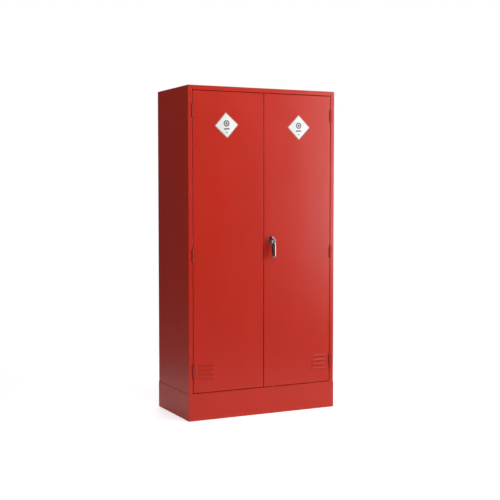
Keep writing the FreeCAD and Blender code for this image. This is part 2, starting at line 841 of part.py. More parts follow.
def make_spacer():
    """A collar round the square, between the cam and the tongue."""
    inner = square / math.sqrt(2) + spacer_clear
    return ring(inner + spacer_wall, inner, (lock_x, cam_y + cam_sheet, lock_z),
                (lock_x, tongue_y, lock_z))


def make_tongue():
    """The middle latch, pointing at the other door when the handle hangs down."""
    back = tongue_y + tongue_sheet
    hub = rod(tongue_hub, (lock_x, tongue_y, lock_z), (lock_x, back, lock_z))
    half = tongue_width / 2
    arm = block((lock_x - tongue_length, lock_x), (tongue_y, back), (lock_z - half, lock_z + half))
    arm = rounded(arm, tongue_corner,
                  lambda m, d: abs(d.y) > tongue_sheet / 2 and m.x < lock_x - same)
    bore = square_bar(square + 2 * square_clear, tongue_y - past, back + past)
    return joined([hub, arm]).cut(bore)


def make_cam_washer():
    back = tongue_y + tongue_sheet
    return ring(washer_radius, cam_screw_radius + washer_clear, (lock_x, back, lock_z),
                (lock_x, back + washer_sheet, lock_z))


def make_cam_screw():
    """Hexagon-head screw that holds the stack on the spindle."""
    seat = tongue_y + tongue_sheet + washer_sheet
    corner = cam_screw_across / math.sqrt(3)
    points = [
        V(lock_x + corner * math.cos(math.radians(60 * n)), seat,
          lock_z + corner * math.sin(math.radians(60 * n)))
        for n in range(7)
    ]
    hexagon = Part.Face(Part.makePolygon(points)).extrude(V(0, cam_screw_head, 0))
    return joined([hexagon, rod(cam_screw_radius, (lock_x, seat - cam_screw_length, lock_z),
                                (lock_x, seat + cam_screw_head / 2, lock_z))])


def make_rod(way):
    """A round locking rod with a slotted flat end over its cam pin; way is 1 up and -1 down."""
    x = lock_x - way * rod_offset
    pin_z = lock_z + way * pin_side
    slot_half_x = (crank - pin_side) / 2 + cam_pin_radius + yoke_side_clear
    slot_half_z = cam_pin_radius + yoke_lift_clear
    half_x = slot_half_x + yoke_margin
    plate = block((x - half_x, x + half_x), (rod_y - yoke_sheet / 2, rod_y + yoke_sheet / 2),
                  (pin_z - way * (slot_half_z + yoke_margin),
                   pin_z + way * (slot_half_z + yoke_length)))
    edge = door_top if way > 0 else door_bottom
    tip = edge + way * rod_reach
    bar = rod(rod_radius, (x, rod_y, pin_z + way * (slot_half_z + yoke_overlap)), (x, rod_y, tip))
    bar = bar.makeChamfer(rod_chamfer, [e for e in bar.Edges
                                        if abs(e.BoundBox.ZMax - tip) < same
                                        and abs(e.BoundBox.ZMin - tip) < same])
    slot = block((x - slot_half_x, x + slot_half_x), (rod_y - rod_radius, rod_y + rod_radius),
                 (pin_z - slot_half_z, pin_z + slot_half_z))
    return joined([plate, bar]).cut(slot)


def make_rod_guides(way):
    """Two moulded blocks on the door's skin that each rod slides in."""
    x = lock_x - way * rod_offset
    edge = door_top if way > 0 else door_bottom
    half = guide_height / 2
    made = []
    for z in (lock_z + way * guide_from_lock, edge - way * guide_from_edge):
        body = block((x - guide_width / 2, x + guide_width / 2),
                     (front + shell_sheet, rod_y + rod_radius + guide_cover),
                     (z - half, z + half))
        body = rounded(body, guide_corner, lambda m, d: abs(d.z) > half and m.y > rod_y)
        made.append(body.cut(rod(rod_radius + rod_running, (x, rod_y, z - guide_height),
                                 (x, rod_y, z + guide_height))))
    return Part.makeCompound(made)


def make_rod_bushes():
    """Flanged bushes where the rods leave the door's top and bottom edges."""
    made = []
    for way in (1, -1):
        x = lock_x - way * rod_offset
        edge = door_top if way > 0 else door_bottom
        inner = edge - way * shell_sheet
        collar = rod(bush_radius + bush_collar, (x, rod_y, inner),
                     (x, rod_y, inner - way * bush_collar_sheet))
        neck = rod(bush_radius - press_fit, (x, rod_y, inner - way * bush_collar_sheet / 2),
                   (x, rod_y, edge + way * bush_proud))
        hole = rod(rod_radius + rod_running, (x, rod_y, edge - door_depth),
                   (x, rod_y, edge + door_depth))
        made.append(joined([collar, neck]).cut(hole))
    return Part.makeCompound(made)


# ---------------------------------------------------------------- build every node
parts = {}
parts["plinth"] = make_plinth()
parts["top_panel"] = make_top_panel()
parts["top_door_stop"] = make_top_door_stop()
parts["back_panel"] = make_back_panel()
parts["base_panel"] = make_base_panel()
parts["sump_lip"] = make_sump_lip()
parts["door_buffers"] = make_buffers()

for side, hand in ((LEFT, "left"), (RIGHT, "right")):
    parts[f"side_panel_{hand}"] = make_side_panel(side)
    parts[f"door_skin_{hand}"] = make_door_skin(side)
    parts[f"door_stiffener_{hand}"] = make_stiffener(side)
    parts[f"label_{hand}"] = make_label(side)
    parts[f"hinge_pins_{hand}"] = make_hinge_pins(side)
    for place, z in hinge_heights.items():
        parts[f"hinge_frame_leaf_{hand}_{place}"] = make_leaf(side, z, on_door=False)
        parts[f"hinge_door_leaf_{hand}_{place}"] = make_leaf(side, z, on_door=True)
    for end, y in upright_y.items():
        parts[f"shelf_upright_{hand}_{end}"] = make_upright(side, y)

for name in shelf_slots:
    top = shelf_height(name)
    parts[f"shelf_{name}"] = make_shelf(top)
    parts[f"shelf_clips_{name}"] = Part.makeCompound([
        make_clip(side, y, top) for side in (LEFT, RIGHT) for y in upright_y.values()
    ])

parts["meeting_strip"] = make_meeting_strip()
parts["handle_rose"] = make_rose()
parts["rose_screws"] = make_rose_screws()
parts["lock_backplate"] = make_backplate()
parts["handle_lever"] = make_handle()
parts["lock_barrel"] = make_lock_barrel()
parts["cam_plate"] = make_cam()
parts["cam_pins"] = make_cam_pins()
parts["cam_spacer"] = make_spacer()
parts["latch_tongue"] = make_tongue()
parts["cam_washer"] = make_cam_washer()
parts["cam_screw"] = make_cam_screw()
parts["rod_bushes"] = make_rod_bushes()
for way, place in ((1, "upper"), (-1, "lower")):
    parts[f"locking_rod_{place}"] = make_rod(way)
    parts[f"rod_guides_{place}"] = make_rod_guides(way)

os.makedirs("parts", exist_ok=True)
for name, shape in parts.items():
    shape.exportStep(f"parts/{name}.step")

print(len(parts), "nodes")
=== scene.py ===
import json
import math

import bpy
import numpy as np
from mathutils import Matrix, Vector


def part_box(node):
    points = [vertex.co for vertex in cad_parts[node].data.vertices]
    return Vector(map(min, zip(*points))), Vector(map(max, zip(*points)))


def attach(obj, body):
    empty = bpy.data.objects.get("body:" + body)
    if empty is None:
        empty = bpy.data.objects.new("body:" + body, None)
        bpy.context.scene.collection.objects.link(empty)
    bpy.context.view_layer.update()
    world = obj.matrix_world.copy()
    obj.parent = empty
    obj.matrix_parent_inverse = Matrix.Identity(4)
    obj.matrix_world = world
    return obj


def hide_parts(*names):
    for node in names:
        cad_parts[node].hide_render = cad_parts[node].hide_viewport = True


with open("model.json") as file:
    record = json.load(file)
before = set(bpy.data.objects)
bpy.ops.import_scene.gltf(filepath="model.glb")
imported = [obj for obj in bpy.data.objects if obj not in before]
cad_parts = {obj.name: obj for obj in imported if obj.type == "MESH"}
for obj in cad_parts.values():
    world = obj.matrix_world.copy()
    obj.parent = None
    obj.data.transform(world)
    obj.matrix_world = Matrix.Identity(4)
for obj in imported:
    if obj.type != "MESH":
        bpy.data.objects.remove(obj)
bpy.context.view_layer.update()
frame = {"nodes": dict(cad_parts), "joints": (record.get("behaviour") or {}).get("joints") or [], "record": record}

# The looks of a red two-door chemical cabinet: finishes for its sheet metal, handle,
# hinges, labels and rubber buffers, and a plain studio. Metres throughout.
# +X is to the right seen from the doors, +Y runs to the back, +Z is up.

record = frame["record"]

MM = 0.001
LEFT, RIGHT = -1, 1
HANDS = {LEFT: "left", RIGHT: "right"}
joint_at = {joint["name"]: joint for joint in frame["joints"]}

rose_low, rose_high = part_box("handle_rose")
top_low, top_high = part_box("top_panel")
front = top_low.y                        # front face of the frame and the doors
lock_x = (rose_low.x + rose_high.x) / 2
lock_z = (rose_low.z + rose_high.z) / 2


# ---------------------------------------------------------------- mesh helpers
def grid_faces(rows, columns, around, start=0):
    """Quads of a rows x columns grid of points; around closes each row into a ring."""
    across = columns if around else columns - 1
    r, c = np.meshgrid(np.arange(rows - 1), np.arange(across), indexing="ij")
    n = (c + 1) % columns
    quads = np.stack([r * columns + c, r * columns + n,
                      (r + 1) * columns + n, (r + 1) * columns + c], axis=-1)
    return quads.reshape(-1, 4) + start


def ring_solid(rings, bored=False):
    """(points, faces) of a closed solid from rings of points (rows, columns, 3) that turn
    anticlockwise seen from the last ring. Each end is closed by a fan to its middle, or, on a
    bored piece, the last ring is joined back to the first."""
    rows, columns, _ = rings.shape
    faces = [list(map(int, f)) for f in grid_faces(rows, columns, True)]
    if bored:
        wrap = grid_faces(rows + 1, columns, True)[-columns:] % (rows * columns)
        return rings.reshape(-1, 3), faces + wrap.tolist()
    points = np.vstack([rings.reshape(-1, 3), rings[0].mean(0), rings[-1].mean(0)])
    first, last = rows * columns, rows * columns + 1
    end = (rows - 1) * columns
    for c in range(columns):
        n = (c + 1) % columns
        faces.append([first, n, c])
        faces.append([last, end + c, end + n])
    return points, faces


def put_in_place(name, solids, smooth=True, sharp_angle=40.0):
    """One mesh object from a list of (points, faces), smooth except at sharp corners."""
    points, faces, start = [], [], 0
    for p, f in solids:
        points.append(np.asarray(p, float))
        faces += [[i + start for i in face] for face in f]
        start += len(p)
    mesh = bpy.data.meshes.new(name)
    mesh.from_pydata(np.vstack(points).tolist(), [], faces)
    mesh.validate()
    mesh.update()
    if smooth:
        mesh.polygons.foreach_set("use_smooth", [True] * len(mesh.polygons))
        mesh.set_sharp_from_angle(angle=math.radians(sharp_angle))
    piece = bpy.data.objects.new(name, mesh)
    bpy.context.scene.collection.objects.link(piece)
    return piece


def dress(piece, finish, body, slot, *nodes):
    """Gives a piece its finish and its body, and lets it stand for CAD nodes."""
    piece.data.materials.append(finish)
    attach(piece, body)
    if nodes:
        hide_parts(*nodes)
    return piece


def lathe(profile, centre, axis, turns=96):
    """Rings of a surface of revolution: profile rows are (radius, distance along axis), and a
    point is centre + axis * distance + radius * (cos t, sin t) in the plane across axis."""
    profile = np.asarray(profile, float)
    axis = np.asarray(axis, float)
    helper = np.array([0.0, 0.0, 1.0]) if abs(axis[2]) < 0.9 else np.array([1.0, 0.0, 0.0])
    u = np.cross(helper, axis)
    u /= np.linalg.norm(u)
    v = np.cross(axis, u)
    t = np.linspace(0, 2 * math.pi, turns, endpoint=False)
    spoke = np.cos(t)[:, None] * u + np.sin(t)[:, None] * v
    return (np.asarray(centre, float) + profile[:, 1, None, None] * axis
            + profile[:, 0, None, None] * spoke[None])


def arc(centre, radius, start, stop, steps):
    """Points on a circle arc in a plane, angles in degrees."""
    t = np.radians(np.linspace(start, stop, steps))
    return np.stack([centre[0] + radius * np.cos(t), centre[1] + radius * np.sin(t)], axis=1)


def smoothstep(low, high, x):
    """0 below low, 1 above high, and 3t^2 - 2t^3 between them."""
    t = np.clip((x - low) / (high - low), 0, 1)
    return t * t * (3 - 2 * t)


# ---------------------------------------------------------------- finishes
class Finish:
    """A procedural material: a Principled shader, and short calls for the nodes that feed it."""

    def __init__(self, name, **sockets):
        self.material = bpy.data.materials.new(name)
        self.material.use_nodes = True
        self.tree = self.material.node_tree
        self.shader = self.tree.nodes["Principled BSDF"]
        for socket, value in sockets.items():
            self.shader.inputs[socket.replace("_", " ")].default_value = value
        self.where = self.node("ShaderNodeTexCoord").outputs["Object"]
        self.bump_from = None

    def node(self, kind, inputs=(), **settings):
        made = self.tree.nodes.new(kind)
        for key, value in settings.items():
            setattr(made, key, value)
        for key, value in dict(inputs).items():
            self.feed(made.inputs[key], value)
        return made

    def feed(self, socket, value):
        if isinstance(value, bpy.types.NodeSocket):
            self.tree.links.new(value, socket)
        else:
            socket.default_value = value

    def math(self, operation, a, b=0.0):
        return self.node("ShaderNodeMath", {0: a, 1: b}, operation=operation).outputs[0]

    def stretched(self, scale):
        """Object coordinates in metres, multiplied by a scale along each axis."""
        return self.node("ShaderNodeMapping", {"Vector": self.where, "Scale": scale}).outputs[0]

    def noise(self, scale, detail=3.0, rough=0.5, at=None):
        """Soft noise from 0 to 1, with scale in cycles per metre."""
        return self.node("ShaderNodeTexNoise", {
            "Vector": at if at is not None else self.where, "Scale": scale,
            "Detail": detail, "Roughness": rough,
        }).outputs["Fac"]

    def ramp(self, value, low, high, to_low=0.0, to_high=1.0):
        return self.node("ShaderNodeMapRange", {
            "Value": value, "From Min": low, "From Max": high,
            "To Min": to_low, "To Max": to_high,
        }, interpolation_type="SMOOTHSTEP").outputs[0]

    def mix(self, share, a, b):
        made = self.node("ShaderNodeMix", {"Factor": share}, data_type="RGBA")
        for socket, value in ((made.inputs[6], a), (made.inputs[7], b)):
            self.feed(socket, value if isinstance(value, bpy.types.NodeSocket) else (*value, 1.0))
        return made.outputs[2]

    def bump(self, height, distance):
        """Adds a layer of relief; height 0 to 1 stands for distance in metres."""
        inputs = {"Height": height, "Distance": distance}
        if self.bump_from is not None:
            inputs["Normal"] = self.bump_from
        self.bump_from = self.node("ShaderNodeBump", inputs).outputs[0]

    def done(self, colour=None, roughness=None):
        if colour is not None:
            self.feed(self.shader.inputs["Base Color"], colour)
        if roughness is not None:
            self.feed(self.shader.inputs["Roughness"], roughness)
        if self.bump_from is not None:
            self.feed(self.shader.inputs["Normal"], self.bump_from)
        return self.material

    def axis(self, which):
        return self.node("ShaderNodeSeparateXYZ", {0: self.where}).outputs[which]


RED = (0.60, 0.0240, 0.0095)
RED_WORN = (0.53, 0.026, 0.012)
DARK_RED, DARK_RED_WORN = tuple(0.8 * c for c in RED), (0.35, 0.10, 0.08)
GREY, GREY_WORN = (0.50, 0.51, 0.51), (0.38, 0.38, 0.38)
DUST, DUST_ON_TOP = (0.36, 0.22, 0.19), (0.42, 0.30, 0.27)


def powder_coat(name, colour, worn, waviness, gloss=0.24, dusty_below=0.0, dusty_above=0.0):
    """Gloss powder coat: orange peel, slow panel waves, faint cloudiness and tiny flecks. Where
    they are given, dust gathers towards the floor from the height dusty_below, and a film of
    dust dulls the sheen above the height dusty_above."""
    f = Finish(name, Coat_Weight=0.12, Coat_Roughness=0.12)
    cloud = f.noise(1.0, detail=1.0, at=f.stretched((5.0, 5.0, 1.6)))
    fleck = f.noise(900.0, detail=1.0)
    base = f.mix(f.ramp(cloud, 0.35, 0.7), colour, tuple(0.96 * c for c in colour))
    base = f.mix(f.ramp(fleck, 0.62, 0.78, 0.0, 0.12), base, worn)
    rough = f.ramp(f.noise(9.0, detail=2.0), 0.3, 0.7, gloss - 0.01, gloss + 0.02)
    if dusty_below:
        dust = f.math("MULTIPLY", f.ramp(f.axis("Z"), 0.0, dusty_below, 0.10, 0.0),
                      f.ramp(f.noise(60.0, detail=4.0), 0.35, 0.65))
        base = f.mix(dust, base, DUST)
    if dusty_above:
        film = f.math("MULTIPLY", f.ramp(f.axis("Z"), dusty_above, dusty_above + 0.3 * MM),
                      f.ramp(f.noise(25.0, detail=4.0), 0.2, 0.7, 0.7, 1.0))
        base = f.mix(f.math("MULTIPLY", film, 0.06), base, DUST_ON_TOP)
        rough = f.math("ADD", rough, f.math("MULTIPLY", film, 0.5))
    f.bump(f.noise(1.0, detail=1.0, at=f.stretched((6.5, 6.5, 1.4))), waviness)
    f.bump(f.noise(330.0, detail=1.0), 0.00006)
    return f.done(base, rough)


def zinc_plate(name, shade=(0.58, 0.59, 0.60), grain=(1.0, 1.0, 1.0)):
    """Passivated zinc: bright grey with a slight yellow and blue bloom and a fine grain."""
    f = Finish(name, Metallic=1.0)
    bloom = f.noise(35.0, detail=3.0)
    colour = f.mix(f.ramp(bloom, 0.35, 0.65), shade, (0.62, 0.60, 0.53))
    bluish = f.ramp(f.noise(16.0, detail=2.0), 0.5, 0.75, 0.0, 0.6)
    colour = f.mix(bluish, colour, (0.50, 0.54, 0.60))
    dull = f.ramp(f.noise(140.0, detail=5.0, rough=0.7), 0.3, 0.75, 0.26, 0.44)
    f.bump(f.noise(700.0, detail=2.0, at=f.stretched(grain)), 0.00005)
    return f.done(colour, dull)


def bright_chrome(name):
    """Polished plating over a cast body: slight waves in the casting, fine wiping marks."""
    f = Finish(name, Metallic=1.0)
    wipe = f.noise(260.0, detail=4.0, at=f.stretched((1.0, 1.0, 0.12)))
    cast = f.ramp(f.noise(90.0, detail=2.0), 0.3, 0.7)
    colour = f.mix(cast, (0.50, 0.475, 0.465), (0.44, 0.42, 0.41))
    rough = f.ramp(wipe, 0.35, 0.75, 0.13, 0.21)
    f.bump(f.noise(120.0, detail=2.0), 0.00008)
    f.bump(f.noise(1500.0, detail=1.0, at=f.stretched((1.0, 1.0, 0.2))), 0.000008)
    return f.done(colour, rough)


def bare_steel(name):
    f = Finish(name, Metallic=1.0)
    colour = f.mix(f.noise(80.0, detail=4.0), (0.42, 0.42, 0.43), (0.56, 0.55, 0.54))
    f.bump(f.noise(900.0, detail=2.0), 0.00004)
    return f.done(colour, f.ramp(f.noise(200.0, detail=3.0), 0.3, 0.7, 0.28, 0.45))


def moulded_nylon(name):
    f = Finish(name)
    colour = f.mix(f.noise(50.0), (0.022, 0.022, 0.024), (0.045, 0.045, 0.048))
    f.bump(f.noise(1600.0, detail=2.0), 0.00005)
    return f.done(colour, f.ramp(f.noise(300.0), 0.3, 0.7, 0.42, 0.58))


def soft_rubber(name):
    f = Finish(name)
    colour = f.mix(f.noise(400.0), (0.018, 0.018, 0.018), (0.05, 0.048, 0.046))
    f.bump(f.noise(2200.0, detail=3.0), 0.00008)
    return f.done(colour, f.ramp(f.noise(500.0), 0.3, 0.7, 0.70, 0.88))


red_panel = powder_coat("red_powder_coat", RED, RED_WORN, waviness=0.0005)
red_door = powder_coat("red_powder_coat_door", RED, RED_WORN, waviness=0.0006)
red_plinth = powder_coat("red_powder_coat_plinth", RED, RED_WORN, waviness=0.0004,
                         dusty_below=30 * MM)
red_top = powder_coat("red_powder_coat_top", RED, RED_WORN, waviness=0.0005,
                      dusty_above=top_high.z - 0.5 * MM)
red_hinge = powder_coat("red_powder_coat_hinge", DARK_RED, DARK_RED_WORN,
                        waviness=0.00005, gloss=0.44)
grey_shelf = powder_coat("grey_powder_coat", GREY, GREY_WORN, waviness=0.001, gloss=0.42)
zinc = zinc_plate("zinc_plate")
zinc_upright = zinc_plate("zinc_plate_upright", shade=(0.62, 0.63, 0.64), grain=(1.0, 1.0, 0.1))
zinc_rod = zinc_plate("zinc_plate_rod", grain=(1.0, 1.0, 0.05))
chrome = bright_chrome("bright_chrome")
steel = bare_steel("bare_steel")
nylon = moulded_nylon("moulded_nylon")
rubber = soft_rubber("soft_rubber")

FINISH_OF_NODE = {
    "plinth": red_plinth,
    "top_panel": red_top,
    "cam_pins": steel,
    "cam_spacer": steel,
}
FINISH_OF_PREFIX = [
    ("door_skin", red_door), ("door_stiffener", red_panel), ("side_panel", red_panel),
    ("top_", red_panel), ("back_panel", red_panel), ("base_panel", red_panel),
    ("sump_lip", red_panel), ("meeting_strip", red_panel), ("hinge_", red_hinge),
    ("shelf_clips", zinc), ("shelf_upright", zinc_upright), ("shelf_", grey_shelf),
    ("locking_rod", zinc_rod), ("rod_", nylon), ("cam_", zinc), ("latch_tongue", zinc),
    ("lock_backplate", zinc), ("rose_screws", zinc), ("handle_", chrome),
    ("lock_barrel", chrome), ("label", steel), ("door_buffers", rubber),
]


def finish_nodes():
    for name, node in frame["nodes"].items():
        finish = FINISH_OF_NODE.get(name)
        if finish is None:
            finish = next(f for prefix, f in FINISH_OF_PREFIX if name.startswith(prefix))
        if not node.material_slots:
            node.data.materials.append(finish)
        for slot in node.material_slots:
            slot.material = finish


finish_nodes()

BODY_OF = {node: body for body, nodes in record["behaviour"]["bodies"].items() for node in nodes}


# ---------------------------------------------------------------- handle and lock
def level_ring(x, y, z):
    """Points of a ring that lies level at the height z."""
    return np.stack([x, y, np.full(len(x), z)], axis=1)


def facing_ring(x, y, z):
    """Points of a ring parallel to the doors, at the depth y."""
    return np.stack([x, np.full(len(x), y), z], axis=1)


def upright_ring(centre_x, centre_y, z, half_wide, half_deep, columns=72, square=2.6):
    """A level ring with half sizes in x and y: a superellipse whose power is `square`."""
    t = np.linspace(0, 2 * math.pi, columns, endpoint=False)
    c, s = np.cos(t), np.sin(t)
    x = np.sign(c) * np.abs(c) ** (2 / square)
    y = np.sign(s) * np.abs(s) ** (2 / square)
    return level_ring(centre_x + half_wide * x, centre_y + half_deep * y, z)


def drooping_lever(handle_low):
    """The lever below its round head. Each level ring is a squarish superellipse, so that the
    front is nearly flat between rounded edges. Its half width runs from the head's radius down
    to the arm's, front and back follow their own straight lines, and the tip closes as a
    quarter circle."""
    tip_round = 9.0 * MM
    straight_end = handle_low.z + tip_round
    z_top = lock_z - 3.0 * MM
    straight_rows, tip_rows = 46, 14
    down = np.concatenate([np.linspace(0, 1, straight_rows), np.ones(tip_rows)])
    phi = np.concatenate([np.zeros(straight_rows), np.radians(np.linspace(6, 88, tip_rows))])
    z = z_top + (straight_end - z_top) * down - tip_round * np.sin(phi)
    closing = np.cos(phi) ** 0.8

    def along(places, sizes):
        return np.interp(down, places, np.array(sizes) * MM)

    wide = closing * along([0, 0.12, 0.3, 0.6, 1.0], [13.2, 12.9, 12.2, 11.0, 9.4])
    face = front - along([0, 0.15, 0.5, 1.0], [33.2, 33.9, 36.6, 39.0])
    back = front - along([0, 0.2, 0.5, 1.0], [18.0, 20.0, 24.5, 28.6])
    middle, half = (face + back) / 2, (back - face) / 2
    squarish = 2.6 + 5.4 * smoothstep(0.08, 0.30, down)
    rows = zip(middle, z, wide, half, closing, squarish)
    rings = np.stack([upright_ring(lock_x, m, level, w, h * c, square=power)
                      for m, level, w, h, c, power in rows])
    return ring_solid(rings[:, ::-1])


def outward(profile, centre):
    """A lathe profile of (radius, distance out from the front face) in millimetres."""
    return ring_solid(lathe(np.asarray(profile) * MM, centre, (0.0, -1.0, 0.0)))


def make_handle():
    handle_low, handle_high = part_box("handle_lever")
    plate_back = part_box("lock_backplate")[1].y
    centre = (lock_x, front, lock_z)
    hub = [(13.2, 7.3), (13.4, 8.2), (12.6, 10.5), (12.4, 14), (13.2, 18), (14, 22), (14, 31)]
    hub += arc((11.5, 31.5), 2.5, 8, 90, 7).tolist()
    hub += [(9.0, 34.0), (7.5, 33.85), (6.9, 33.3), (6.6, 32.6), (6.6, 18.1)]
    shoulder = (front - plate_back) / MM - 2.0
    spindle = [(6.4, shoulder), (7.0, shoulder + 0.6), (7.0, 9.0)]
    square_half = 3.5 * MM
    ends = np.array([handle_high.y, handle_high.y - 0.5 * MM, front - (shoulder + 1) * MM])
    sizes = square_half * np.array([0.88, 1.0, 1.0])
    ring = upright_ring(0, 0, 0, 1, 1, columns=48, square=14)
    bar = np.stack([facing_ring(lock_x + ring[:, 0] * h, y, lock_z + ring[:, 1] * h)
                    for y, h in zip(ends, sizes)])
    solids = [outward(hub, centre), outward(spindle, centre), ring_solid(bar),
              drooping_lever(handle_low)]
    piece = put_in_place("lever_handle", solids, sharp_angle=50)
    return dress(piece, chrome, "handle", "chrome", "handle_lever")


def make_key_barrel():
    """The plug: rings of a circle, and at its face a ring that passes over to the keyway's
    outline, a superellipse, which then goes straight in."""
    low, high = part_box("lock_barrel")
    t = np.linspace(0, 2 * math.pi, 96, endpoint=False)
    circle = np.stack([np.cos(t), np.sin(t)], axis=1)
    slot = np.sign(circle) * np.abs(circle) ** 0.3 * np.array([0.8, 3.6]) * MM
    radius = (high.x - low.x) / 2
    rings = []
    for y, outline in (
        (high.y, circle * (radius - 0.3 * MM)), (high.y - 0.3 * MM, circle * radius),
        (low.y + 0.6 * MM, circle * radius), (low.y + 0.15 * MM, circle * (radius - 0.35 * MM)),
        (low.y, circle * (radius - 0.9 * MM)), (low.y, circle * 5.0 * MM),
        (low.y + 0.25 * MM, circle * 4.8 * MM), (low.y + 0.25 * MM, circle * 4.6 * MM),
        (low.y, circle * 4.4 * MM), (low.y, slot * 1.12),
        (low.y + 0.15 * MM, slot), (low.y + 8 * MM, slot),
    ):
        rings.append(facing_ring(lock_x + outline[:, 0], y, lock_z + outline[:, 1]))
    piece = put_in_place("key_barrel", [ring_solid(np.stack(rings))], sharp_angle=30)
    return dress(piece, chrome, "lock_barrel", "chrome", "lock_barrel")


def make_rose():
    """The oval plate: each ring passes from a stadium's outline to the bore's circle, while its
    distance from the door follows a rounded edge, a gentle crown and the bore."""
    half_wide = (rose_high.x - rose_low.x) / 2
    straight = (rose_high.z - rose_low.z) / 2 - half_wide
    t = np.linspace(0, 2 * math.pi, 128, endpoint=False)
    reach = front - rose_low.y
    edge, bore_inset = 3.2 * MM, half_wide - 7.2 * MM
    rows = [(0.0, 0.0), (0.0, reach - edge)]
    rows += [(edge - edge * math.cos(a), reach - edge + edge * math.sin(a) - 0.4 * MM * math.sin(a))
             for a in np.radians(np.linspace(12, 90, 8))]
    rows += [(6.5 * MM, reach - 0.15 * MM), (9.5 * MM, reach), (bore_inset - 0.2 * MM, reach),
             (bore_inset, reach - 0.3 * MM), (bore_inset, 0.0)]
    rings = []
    for inset, out in rows:
        left = 1 - inset / bore_inset
        z = (half_wide - inset) * np.sin(t) + straight * left * np.clip(7 * np.sin(t), -1, 1)
        x = (half_wide - inset) * np.cos(t)
        rings.append(facing_ring(lock_x + x, front - out, lock_z + z))
    piece = put_in_place("lock_rose", [ring_solid(np.stack(rings), bored=True)], sharp_angle=35)
    return dress(piece, chrome, BODY_OF["handle_rose"], "chrome", "handle_rose")


make_handle()
make_key_barrel()
make_rose()


# ---------------------------------------------------------------- hinges
# In millimetres: the pin's radius, and where each leaf's faces are, from the pin's axis outwards.
PIN_RADIUS = 3.0
LEAF_FACES = {"frame": (4.2, 2.7), "door": (-4.2, -2.7)}
KNUCKLE_GAP = 0.6 * MM
SEAM_TURN = 25                           # degrees from straight back


def knuckle(x, y, low, high, seam):
    """A rolled knuckle round an upright pin: a ring between the bore and the barrel's radius,
    with broken edges and a narrow seam up one side where the sheet's end meets its leaf."""
    t = np.linspace(0, 2 * math.pi, 96, endpoint=False)
    away = np.angle(np.exp(1j * (t - seam)))
    split = 0.7 * MM * np.exp(-(away / 0.05) ** 2)
    outer, bore, broken = 5.5 * MM, PIN_RADIUS * MM + 0.05 * MM, 0.45 * MM
    rings = []
    for radius, z in ((bore, low), (outer - broken - split, low), (outer - split, low + broken),
                      (outer - split, high - broken), (outer - broken - split, high), (bore, high)):
        rings.append(level_ring(x + radius * np.cos(t), y + radius * np.sin(t), z))
    return ring_solid(np.stack(rings), bored=True)


def leaf_plate(low, high):
    """A small upright plate: level rings with rounded corners, drawn in at both ends."""
    (x0, y0, z0), (x1, y1, z1) = low, high
    middle_x, middle_y, broken = (x0 + x1) / 2, (y0 + y1) / 2, 0.3 * MM
    rings = [upright_ring(middle_x, middle_y, z, (x1 - x0) / 2 - cut, (y1 - y0) / 2 - cut, 48, 9)
             for z, cut in ((z0, broken), (z0 + broken, 0), (z1 - broken, 0), (z1, broken))]
    return ring_solid(np.stack(rings))


def make_hinges(side):
    """Knuckles and leaves as the frame's and the door's own pieces, and the pins in one."""
    hand = HANDS[side]
    swing = joint_at[f"{hand}_door_swing"]["pos_m"]
    pins = []
    for place in ("top", "middle", "bottom"):
        leaves = {}
        for kind in ("frame", "door"):
            node = f"hinge_{kind}_leaf_{hand}_{place}"
            leaves[kind] = (node, *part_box(node))
        z0, z1 = leaves["frame"][1].z, leaves["frame"][2].z
        third = (z1 - z0 - 2 * KNUCKLE_GAP) / 3
        bands = {"frame": [(z0, z0 + third), (z1 - third, z1)],
                 "door": [(z0 + third + KNUCKLE_GAP, z1 - third - KNUCKLE_GAP)]}
        for kind, (node, low, high) in leaves.items():
            # The plate is the part of the leaf behind the barrel, on its own side of the pin.
            x0, x1 = sorted(side * (abs(swing[0]) + face * MM) for face in LEAF_FACES[kind])
            clear = swing[1] + 6.3 * MM
            seam = math.radians(90 + side * (SEAM_TURN if kind == "frame" else -SEAM_TURN))
            solids = [knuckle(swing[0], swing[1], a, b, seam) for a, b in bands[kind]]
            solids.append(leaf_plate((x0, clear, z0), (x1, high.y, z1)))
            solids += [leaf_plate((x0, swing[1] + 1 * MM, a), (x1, clear + 1 * MM, b))
                       for a, b in bands[kind]]
            piece = put_in_place(f"rolled_hinge_{kind}_{hand}_{place}", solids, sharp_angle=35)
            dress(piece, red_hinge, BODY_OF[node], "red_paint", node)
        length = (z1 - z0) / MM
        pin = [(2.2, 0.0), (2.7, 0.15), (PIN_RADIUS, 0.7), (PIN_RADIUS, length + 0.9)]
        pin += [(4.1, length + 0.95), (4.3, length + 1.3), (4.0, length + 1.9),
                (2.9, length + 2.35), (1.4, length + 2.55)]
        foot = (swing[0], swing[1], z0 - 0.8 * MM)
        pins.append(ring_solid(lathe(np.array(pin) * MM, foot, (0, 0, 1), 64)))
    node = f"hinge_pins_{hand}"
    piece = put_in_place(f"round_headed_pins_{hand}", pins)
    dress(piece, red_hinge, BODY_OF[node], "red_paint", node)


for side in (LEFT, RIGHT):
    make_hinges(side)


